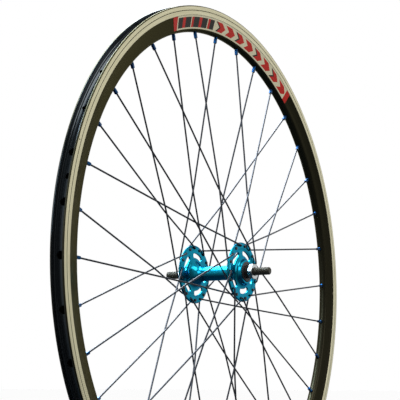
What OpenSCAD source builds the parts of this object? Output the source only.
// Front track wheel for a bicycle: a deep aluminium rim laced three-cross to a large-flange hub,
// which turns on two cartridge bearings around a solid nutted axle.
//
// The axle lies along Y and the origin is its middle, on the rim's centre plane. +Z is up.
// The right side is -Y. Angles around the axle run from +X towards +Z.

/* [Rim] */
// Diameter that the tyre's bead sits on
bead_seat_d = 622; // [451, 559, 571, 584, 622]
// Height of the rim's side above the bead seat
flange_height = 6; // [5.5:0.5:6.5]
// Depth of the rim from its edge to its nose
rim_depth = 30.5; // [28:0.5:45]
// Width of the rim over the two brake tracks
rim_width = 17.2; // [17.2:0.2:20]
// Height of the machined brake track
track_height = 10.8; // [9:0.2:12]
// Diameter of the nipple access holes in the tyre well
access_hole_d = 9; // [8:0.5:9]
// Diameter of the valve hole
valve_hole_d = 6.5; // [6.5, 8.5]
// Angle of the valve hole, half way between two spokes
valve_angle = 165; // [5:10:355]

/* [Spokes] */
// Number of spokes
spoke_count = 36; // [32, 36]
// Diameter of a spoke
spoke_d = 2; // [1.8:0.1:2]
// Angle at the hub between a spoke's two ends
lacing_angle = 60; // [56:1:62]
// Width across a nipple's flats
nipple_flats = 3.3; // [3.2:0.05:3.4]

/* [Hub] */
// Width between the locknuts' outer faces
locknut_width = 100; // [100:1:110]
// Distance between the middles of the two flanges
flange_spacing = 65.5; // [65:0.5:66]
// Diameter of a flange
flange_d = 70; // [69:0.5:72]
// Diameter of the circle of spoke holes
spoke_circle_d = 62; // [61:0.5:62]
// Diameter of the barrel at its middle
barrel_d = 17.2; // [16:0.2:17.6]
// Diameter of the boss around each bearing
boss_d = 28; // [27:0.5:29]
// Number of lightening slots in a flange
slot_count = 5; // [3:1:6]

/* [Axle] */
// Diameter of the threaded ends
axle_d = 9; // [9, 9.5]
// Whole length of the axle
axle_length = 140; // [132:1:145]
// Width across a locknut's flats
locknut_flats = 17; // [16:1:17]

/* [Hidden] */

$fn = 96;
through = 1;            // how far a cutter runs past what it cuts

// Rim, as distances from the axle and half-widths from the centre plane
rim_r = bead_seat_d / 2 + flange_height;
seat_r = bead_seat_d / 2;
nose_r = rim_r - rim_depth;
nose_wall = 2.5;
nose_round = 5.6;       // radius of the rounded nose
bed_r = rim_r - 7.6;    // bottom of the tyre well
bed_wall = 1.4;
track_half = rim_width / 2;
track_in_r = rim_r - track_height;
side_half = track_half - 0.3;       // the painted side lies below the machined track
side_top_r = track_in_r - 0.4;
side_wall = 1.4;
nose_centre_r = nose_r + nose_round;
groove_r = seat_r + 0.2;            // wear groove in the brake track
groove_half = 0.4;
groove_depth = 0.4;
wear_dot_r = 0.8;
wear_dot_depth = 0.7;
wear_dot_count = 3;
wear_dot_angle = 38;
hook_half = track_half - 2;         // inside of the rim's edge, where the tyre hooks in
channel_half = 3.4;                 // flat bottom of the tyre well
chamber_top_r = bed_r - bed_wall;
chamber_floor_r = nose_r + nose_wall;
chamber_floor_half = 3.45;
sleeve_angle = valve_angle + 180;   // the rim's joint lies across from the valve
sleeve_half_angle = 3.6;
sleeve_floor_r = chamber_floor_r + 4.5;
sleeve_wall = 1.2;

// The angle where the side runs tangent into the rounded nose
side_rise = side_top_r - nose_centre_r;
side_reach = sqrt(pow(side_half, 2) + pow(side_rise, 2));
tangent_angle = atan2(side_rise, side_half) - acos(nose_round / side_reach);
tangent_half = nose_round * cos(tangent_angle);
tangent_r = nose_centre_r + nose_round * sin(tangent_angle);
side_slope = (side_half - tangent_half) / (side_top_r - tangent_r);

// Decal on the side, wrapped a little way round the nose
decal_start = 53.8;
decal_sweep = 57.5;
decal_out_r = side_top_r - 0.3;
decal_thickness = 0.15;

// Hub, as distances from the middle along the axle
flange_mid = flange_spacing / 2;
flange_r = flange_d / 2;
flange_half = 1.4;                  // half the flange's thickness at the spoke holes
flange_in = flange_mid - flange_half;
flange_out = flange_mid + flange_half;
dish_out = flange_out - 0.6;        // the slotted part is thinner than the spoke ring
spoke_circle_r = spoke_circle_d / 2;
spoke_hole_r = spoke_d / 2 + 0.3;
countersink = 0.4;
slot_r = 22.6;
slot_half = 2.8;
slot_half_angle = 17.5;             // to the centres of the slot's round ends
slot_first = 62.9;                  // right flange; the left one is turned by slot_turn
slot_turn = 11;
boss_r = boss_d / 2;
boss_end = flange_mid + 6.75;
barrel_r = barrel_d / 2;
barrel_bore_r = 5.8;

// Cartridge bearing, 10 x 22 x 6
bearing_bore_r = 5;
bearing_r = 11;
bearing_half = 3;
bearing_mid = flange_mid + 2.85;
bearing_out = bearing_mid + bearing_half;
inner_race_r = 6.9;
outer_race_in_r = 9.3;
ball_r = 1.55;
ball_gap = 0.1;
ball_count = 11;
ball_circle_r = 8.1;
cage_half = 1.9;
cage_in_r = 7.55;
cage_out_r = 8.65;
seal_in_r = 7.2;
seal_out_r = 9.7;
seal_thickness = 0.5;

// Axle stack
axle_r = axle_d / 2;
axle_half = axle_length / 2;
axle_chamfer = 1;
// Inside the locknut the two threads meet at their mean radius, and the axle's grows outside it
thread_mean_r = axle_r - 0.32;
thread_relief = 0.5;
locknut_out = locknut_width / 2;
locknut_thickness = 5;
locknut_chamfer = 0.5;
locknut_sink = 0.9;     // the bore is countersunk past the thread's crest
washer_thickness = 1;
washer_r = 8.2;
spacer_r = 7.3;
spacer_neck_r = 6.6;
spacer_neck = 0.4;
cap_gap = 0.3;
cap_r = 12;
cap_hole_r = 7.7;
cap_thickness = 1.4;
locknut_in = locknut_out - locknut_thickness;
washer_in = locknut_in - washer_thickness;

// Spokes. Each lies in one plane with the axle's direction: s runs outwards along the spoke.
spokes_a_side = spoke_count / 2;
hole_pitch = 360 / spokes_a_side;
pair_pitch = 2 * hole_pitch;
spoke_r = spoke_d / 2;
seat_point_r = (nose_r + chamber_floor_r) / 2;      // where a spoke crosses the rim's nose
spoke_run = sqrt(pow(seat_point_r, 2) + pow(spoke_circle_r, 2)
    - 2 * seat_point_r * spoke_circle_r * cos(lacing_angle));
elbow_round = 1.9;
outside_y = flange_out + spoke_r + 0.95;    // clears the flange's edge as it slopes inwards
inside_y = flange_in - spoke_r - 0.15;
cross_half_angle = 2.5 * hole_pitch;        // the third crossing, where the spokes are woven
cross_part = spoke_circle_r * sin(cross_half_angle)
    / (spoke_circle_r * sin(cross_half_angle) + seat_point_r * sin(lacing_angle - cross_half_angle));
cross_s = spoke_run * cross_part;
cross_y = (outside_y + inside_y) / 2 * (1 - cross_part);
weave_half = spoke_r + 0.05;                // half the distance between two woven spokes
weave_round = 20;
bend_bar_r = spoke_r + 0.03;                // a forged bend is a hair thicker than the wire
bar_sunk = 0.1;
head_r = 1.9;
head_thickness = 1.1;
spoke_end = 2;                              // past the rim's nose, inside the nipple

nipple_shank_r = 2;
nipple_out = 8.5;                           // visible length, towards the hub
nipple_square = 6;
nipple_head_r = 2.7;
nipple_head_start = nose_wall / 2 + 0.65;
nipple_head_end = nipple_head_start + 2.5;
nipple_hole_r = 2.4;

// Puts a shape drawn around the z axis onto the axle, with its +z side to the right
module on_axle() rotate([90, 0, 0]) children();
// The left side is the right side turned over across the centre plane
module left_side() mirror([0, 1, 0]) children();

// Mirrors the points of one half of an outline and joins the two halves
function mirrored(half) = concat(half,
    [for (i = [len(half) - 1 : -1 : 0]) if (half[i][1] != 0) [half[i][0], -half[i][1]]]);

// A ring with a rectangular section, from z1 to z2
module ring(r_in, r_out, z1, z2) {
    rotate_extrude() translate([r_in, z1]) square([r_out - r_in, z2 - z1]);
}

// ---- Axle set ----

module axle() {
    shoulder = bearing_out;
    color("dimgray") on_axle() rotate_extrude() polygon(mirrored([
        [0, axle_half], [axle_r - axle_chamfer, axle_half], [axle_r, axle_half - axle_chamfer],
        [axle_r, locknut_out + thread_relief], [thread_mean_r, locknut_out + thread_relief],
        [thread_mean_r, locknut_in], [axle_r, locknut_in],
        [axle_r, shoulder], [bearing_bore_r, shoulder]]));
}

module locknut() {
    color("silver") on_axle() difference() {
        intersection() {
            translate([0, 0, locknut_in]) rotate(30)
                cylinder(r = locknut_flats / 2 / cos(30), h = locknut_thickness, $fn = 6);
            rotate_extrude() polygon([
                [0, locknut_in], [locknut_flats / 2, locknut_in],
                [locknut_flats / 2 + 2, locknut_in + 2 * locknut_chamfer],
                [locknut_flats / 2 + 2, locknut_out - 2 * locknut_chamfer],
                [locknut_flats / 2, locknut_out], [0, locknut_out]]);
        }
        translate([0, 0, locknut_in - through])
            cylinder(r = thread_mean_r, h = locknut_thickness + 2 * through);
        rotate_extrude() polygon([
            [0, locknut_out - locknut_sink], [thread_mean_r, locknut_out - locknut_sink],
            [thread_mean_r + locknut_sink + through, locknut_out + through],
            [0, locknut_out + through]]);
    }
}

module locknut_washer() {
    color("dimgray") on_axle() ring(axle_r, washer_r, washer_in, locknut_in);
}

module bearing_spacer() {
    neck_end = bearing_out + spacer_neck;
    color("#2b2b2d") on_axle() rotate_extrude() polygon([
        [axle_r, bearing_out], [spacer_neck_r, bearing_out], [spacer_neck_r, neck_end],
        [spacer_r, neck_end + 0.5], [spacer_r, washer_in - 0.5], [spacer_r - 0.5, washer_in],
        [axle_r, washer_in]]);
}

// ---- Cartridge bearing ----

module at_bearing() on_axle() translate([0, 0, bearing_mid]) children();

// The groove that the balls run in
module ball_track() {
    rotate_extrude() translate([ball_circle_r, 0]) circle(r = ball_r + ball_gap);
}

module bearing_inner_race() {
    color("silver") at_bearing() difference() {
        ring(bearing_bore_r, inner_race_r, -bearing_half, bearing_half);
        ball_track();
    }
}

module bearing_outer_race() {
    seal_seat = bearing_half - seal_thickness - 0.1;
    color("silver") at_bearing() difference() {
        rotate_extrude() polygon(mirrored([
            [bearing_r, bearing_half], [seal_out_r, bearing_half], [seal_out_r, seal_seat],
            [outer_race_in_r, seal_seat]]));
        ball_track();
    }
}

module bearing_balls() {
    color("white") at_bearing()
        for (i = [0 : ball_count - 1]) rotate(360 / ball_count * i)
            translate([ball_circle_r, 0, 0]) sphere(r = ball_r);
}

module bearing_cage() {
    color("goldenrod") at_bearing() difference() {
        ring(cage_in_r, cage_out_r, -cage_half, cage_half);
        for (i = [0 : ball_count - 1]) rotate(360 / ball_count * i)
            translate([cage_in_r - through, 0, 0]) rotate([0, 90, 0])
                cylinder(r = ball_r + ball_gap, h = cage_out_r - cage_in_r + 2 * through);
    }
}

// The seal sits in the outer race; outboard is 1 for the outer seal and -1 for the inner one
module bearing_seal(outboard) {
    z = outboard > 0 ? bearing_half - seal_thickness - 0.1 : 0.1 - bearing_half;
    color("#202020") at_bearing() ring(seal_in_r, seal_out_r, z, z + seal_thickness);
}

module dust_cap() {
    z = bearing_out + cap_gap;
    color("#18181a") on_axle() rotate_extrude() polygon([
        [cap_hole_r, z], [cap_r, z], [cap_r, z + 0.7], [cap_r - 0.8, z + cap_thickness - 0.1],
        [cap_r - 1.4, z + cap_thickness], [cap_hole_r, z + cap_thickness]]);
}

// ---- Hub shell ----

shell_outline = [
    [boss_r - 0.4, boss_end], [boss_r, boss_end - 0.4], [boss_r + 0.8, flange_out + 1.6],
    [boss_r + 2.4, dish_out + 0.8], [boss_r + 5, dish_out], [slot_r + slot_half + 1, dish_out],
    [slot_r + slot_half + 2.6, flange_out], [flange_r - 1.4, flange_out],
    [flange_r, flange_mid + 0.4], [flange_r, flange_mid - 0.4], [flange_r - 1.4, flange_in],
    [boss_r + 4, flange_in], [boss_r + 1.4, flange_in - 1], [boss_r - 0.6, flange_in - 2.8],
    [boss_r - 2.6, flange_in - 5], [boss_r - 4.2, flange_in - 7.4],
    [barrel_r + 0.3, flange_in - 10], [barrel_r, flange_in - 13]];

// One spoke hole with a countersink at both faces
module spoke_hole() {
    wide = spoke_hole_r + countersink;
    half = flange_half + through;
    rotate_extrude() polygon(mirrored([
        [0, half], [wide, half], [wide, flange_half], [spoke_hole_r, flange_half - countersink]]));
}

module lightening_slot() {
    rotate(-slot_half_angle) rotate_extrude(angle = 2 * slot_half_angle)
        translate([slot_r - slot_half, -flange_half - through])
            square([2 * slot_half, 2 * (flange_half + through)]);
    for (a = [-slot_half_angle, slot_half_angle]) rotate(a)
        translate([slot_r, 0, -flange_half - through])
            cylinder(r = slot_half, h = 2 * (flange_half + through));
}

// What is cut out of one side: bearing seat, cap seat, spoke holes and slots
module side_cuts(first_hole, first_slot) {
    seat_in = bearing_mid - bearing_half;
    rotate_extrude() polygon([
        [0, seat_in - 9], [barrel_bore_r, seat_in - 9], [bearing_r - 1.6, seat_in - 5],
        [bearing_r - 1.6, seat_in], [bearing_r, seat_in], [bearing_r, bearing_out],
        [cap_r, bearing_out], [cap_r, boss_end + through], [0, boss_end + through]]);
    for (i = [0 : spokes_a_side - 1]) rotate(first_hole + hole_pitch * i)
        translate([spoke_circle_r, 0, flange_mid]) spoke_hole();
    for (i = [0 : slot_count - 1]) rotate(first_slot + 360 / slot_count * i)
        translate([0, 0, flange_mid]) lightening_slot();
}

module hub_shell() {
    color("#0a8aa8") on_axle() difference() {
        rotate_extrude() polygon(concat(
            [[0, boss_end]], mirrored(shell_outline), [[0, -boss_end]]));
        cylinder(r = barrel_bore_r, h = 2 * boss_end, center = true);
        side_cuts(0, slot_first);
        mirror([0, 0, 1]) side_cuts(hole_pitch / 2, slot_first + slot_turn);
    }
}

// ---- Spokes and nipples ----

// A round bar from one point of the spoke's plane to another, sunk into the bend at each end
module bar(from, to) {
    way = (to - from) / norm(to - from);
    start = from - bar_sunk * way;
    translate([start.x, start.y, 0]) rotate([0, 90, atan2(way.y, way.x)])
        cylinder(r = spoke_r, h = norm(to - from) + 2 * bar_sunk);
}

// A bend around a centre, from angle a1 to angle a2
module bend(centre, round, a1, a2) {
    translate([centre.x, centre.y, 0]) rotate(a1)
        rotate_extrude(angle = a2 - a1) translate([round, 0]) circle(r = bend_bar_r);
}

function along(angle) = [cos(angle), sin(angle)];

// A spoke in its own plane: x runs outwards and y runs to the side.
// It starts at the head, goes through the flange, bends at the elbow, is pushed aside where it
// is woven with another spoke, and ends inside its nipple.
// outside is true where the elbow lies outside the flange.
module spoke(outside) {
    elbow_y = outside ? outside_y : inside_y;
    woven_y = cross_y + (outside ? -weave_half : weave_half);
    near_slope = atan((elbow_y - woven_y) / cross_s);
    far_slope = atan(woven_y / (spoke_run - cross_s));
    way = outside ? 1 : -1;                             // the way out through the flange
    centre = [elbow_round, elbow_y - way * elbow_round];
    elbow_exit = centre + elbow_round * along(outside ? 90 - near_slope : -90 - near_slope);
    head_y = outside ? flange_in : flange_out;
    // the weave's bend turns from one slope to the other around its own centre
    turn = far_slope - near_slope;
    side = turn > 0 ? -1 : 1;
    reach = weave_round * tan(abs(turn) / 2);
    woven = [cross_s, woven_y];
    weave_in = woven - reach * along(-near_slope);
    weave_out = woven + reach * along(-far_slope);
    weave_centre = weave_in + side * weave_round * along(90 - near_slope);
    weave_start = side < 0 ? 90 - near_slope : -90 - near_slope;
    far_end = [spoke_run, 0] + spoke_end * along(-far_slope);

    translate([0, head_y - way * head_thickness, 0]) rotate([-90 * way, 0, 0])
        cylinder(r = head_r, h = head_thickness);
    bar([0, head_y], [0, centre.y]);
    bend(centre, elbow_round, outside ? 90 - near_slope : 180, outside ? 180 : 270 - near_slope);
    bar(elbow_exit, weave_in);
    bend(weave_centre, weave_round, min(weave_start, weave_start - turn),
        max(weave_start, weave_start - turn));
    bar(weave_out, far_end);
}

// Puts a spoke's plane where it belongs on the right side: x along the spoke, y to the right.
// lean is 1 where the spoke runs towards greater angles and -1 where it runs back.
module laced(hub_angle, lean) {
    rim_angle = hub_angle + lean * lacing_angle;
    start = spoke_circle_r * along(hub_angle);
    heading = seat_point_r * along(rim_angle) - start;
    translate([start.x, 0, start.y]) rotate([0, -atan2(heading.y, heading.x), 0])
        mirror([0, 1, 0]) children();
}

// Outside and inside spokes take every other hole, and lean opposite ways.
// side is 1 on the right and -1 on the left, where the lean is turned round.
module each_laced(first, side, outside) {
    offset = outside ? hole_pitch : 0;
    for (i = [0 : spokes_a_side / 2 - 1])
        laced(first + offset + pair_pitch * i, side * (outside ? 1 : -1)) children();
}

module nipple(outside) {
    woven_y = cross_y + (outside ? -weave_half : weave_half);
    slope = atan(woven_y / (spoke_run - cross_s));
    translate([spoke_run, 0, 0]) rotate([0, 90, -slope]) difference() {
        union() {
            translate([0, 0, -nipple_out]) intersection() {
                translate([-nipple_flats / 2, -nipple_flats / 2, 0])
                    cube([nipple_flats, nipple_flats, nipple_square]);
                cylinder(r = nipple_shank_r + 0.15, h = nipple_square);
            }
            translate([0, 0, nipple_square - nipple_out])
                cylinder(r = nipple_shank_r, h = nipple_out - nipple_square + nipple_head_start);
            translate([0, 0, nipple_head_start])
                cylinder(r = nipple_head_r, h = nipple_head_end - nipple_head_start);
        }
        translate([0, 0, -nipple_out - through])
            cylinder(r = spoke_r, h = nipple_out + nipple_head_end + 2 * through);
    }
}

module spokes(first, side, outside) {
    color("#3a3b3e") each_laced(first, side, outside) spoke(outside);
}

module nipples(first, side) {
    color("#1f6fb5") for (outside = [true, false])
        each_laced(first, side, outside) nipple(outside);
}

// ---- Rim ----

function side_width(r) = side_half - (side_top_r - r) * side_slope;

// A point on the rounded nose, from its tip (0) to where the side begins (6), or lifted off it
function nose_point(i, lift = 0) = let (a = -90 + (tangent_angle + 90) * i / 6)
    [nose_centre_r + (nose_round + lift) * sin(a), (nose_round + lift) * cos(a)];

rim_outline = concat(
    [for (i = [0 : 6]) nose_point(i)],
    [[side_top_r, side_half], [track_in_r, track_half],
     [groove_r - groove_half, track_half], [groove_r, track_half - groove_depth],
     [groove_r + groove_half, track_half], [rim_r - 1.1, track_half],
     [rim_r - 0.35, track_half - 0.3], [rim_r, track_half - 1], [rim_r, hook_half + 0.4],
     [rim_r - 0.4, hook_half], [rim_r - 1.8, hook_half], [rim_r - 3, hook_half + 0.5],
     [seat_r + 0.4, hook_half + 0.5], [seat_r, hook_half + 0.1],
     [seat_r, channel_half + 1.3], [bed_r, channel_half]]);

chamber_outline = [
    [chamber_floor_r, chamber_floor_half],
    [chamber_floor_r + 2.5, side_width(chamber_floor_r + 2.5) - side_wall],
    [side_top_r - 1, side_width(side_top_r - 1) - side_wall],
    [chamber_top_r + 0.3, hook_half + 0.4], [chamber_top_r + 1, hook_half],
    [chamber_top_r, channel_half + 0.9]];

// A hole along the radius at an angle, between two distances from the axle
module radial_hole(angle, r, from, to) {
    rotate(angle) translate([from, 0, 0]) rotate([0, 90, 0]) cylinder(r = r, h = to - from);
}

module rim() {
    color("#2e2e2a") on_axle() difference() {
        rotate_extrude() polygon(mirrored(rim_outline));
        rotate_extrude() polygon(mirrored(chamber_outline));
        for (i = [0 : spoke_count - 1]) {
            angle = 360 / spoke_count * i;
            radial_hole(angle, access_hole_d / 2, chamber_top_r - through, seat_r);
            radial_hole(angle, nipple_hole_r, nose_r - through, chamber_floor_r + through);
        }
        radial_hole(valve_angle, valve_hole_d / 2, nose_r - through, seat_r);
        for (i = [0 : wear_dot_count - 1], side = [0, 1])
            mirror([0, 0, side]) rotate(wear_dot_angle + 360 / wear_dot_count * i)
                translate([groove_r, 0, track_half - wear_dot_depth])
                    cylinder(r = wear_dot_r, h = through);
    }
}

// The hollow plug that joins the rim's two ends
module rim_joint_sleeve() {
    top_half = side_width(side_top_r - 1) - side_wall;
    floor_half = side_width(sleeve_floor_r) - side_wall;
    color("silver") on_axle() rotate(sleeve_angle - sleeve_half_angle)
        rotate_extrude(angle = 2 * sleeve_half_angle) difference() {
            polygon(mirrored([[sleeve_floor_r, floor_half], [side_top_r - 1, top_half]]));
            polygon(mirrored([[sleeve_floor_r + sleeve_wall, floor_half - sleeve_wall],
                [side_top_r - 1 - sleeve_wall, top_half - sleeve_wall]]));
        }
}

module rim_decal() {
    color("#d8362c") on_axle() rotate(decal_start) rotate_extrude(angle = decal_sweep)
        polygon([nose_point(5), nose_point(6), [decal_out_r, side_width(decal_out_r)],
            [decal_out_r, side_width(decal_out_r) + decal_thickness],
            nose_point(6, decal_thickness), nose_point(5, decal_thickness)]);
}

axle();
locknut();  // right_locknut
left_side() locknut();  // left_locknut
locknut_washer();  // right_locknut_washer
left_side() locknut_washer();  // left_locknut_washer
bearing_spacer();  // right_bearing_spacer
left_side() bearing_spacer();  // left_bearing_spacer
bearing_inner_race();  // right_bearing_inner_race
left_side() bearing_inner_race();  // left_bearing_inner_race
bearing_balls();  // right_bearing_balls
left_side() bearing_balls();  // left_bearing_balls
bearing_cage();  // right_bearing_cage
left_side() bearing_cage();  // left_bearing_cage
bearing_outer_race();  // right_bearing_outer_race
left_side() bearing_outer_race();  // left_bearing_outer_race
bearing_seal(1);  // right_outer_seal
left_side() bearing_seal(1);  // left_outer_seal
bearing_seal(-1);  // right_inner_seal
left_side() bearing_seal(-1);  // left_inner_seal
dust_cap();  // right_dust_cap
left_side() dust_cap();  // left_dust_cap
hub_shell();
spokes(0, 1, true);  // right_outside_spokes
spokes(0, 1, false);  // right_inside_spokes
left_side() spokes(hole_pitch / 2, -1, true);  // left_outside_spokes
left_side() spokes(hole_pitch / 2, -1, false);  // left_inside_spokes
nipples(0, 1);  // right_nipples
left_side() nipples(hole_pitch / 2, -1);  // left_nipples
rim();
rim_joint_sleeve();
rim_decal();  // right_rim_decal
left_side() rim_decal();  // left_rim_decal
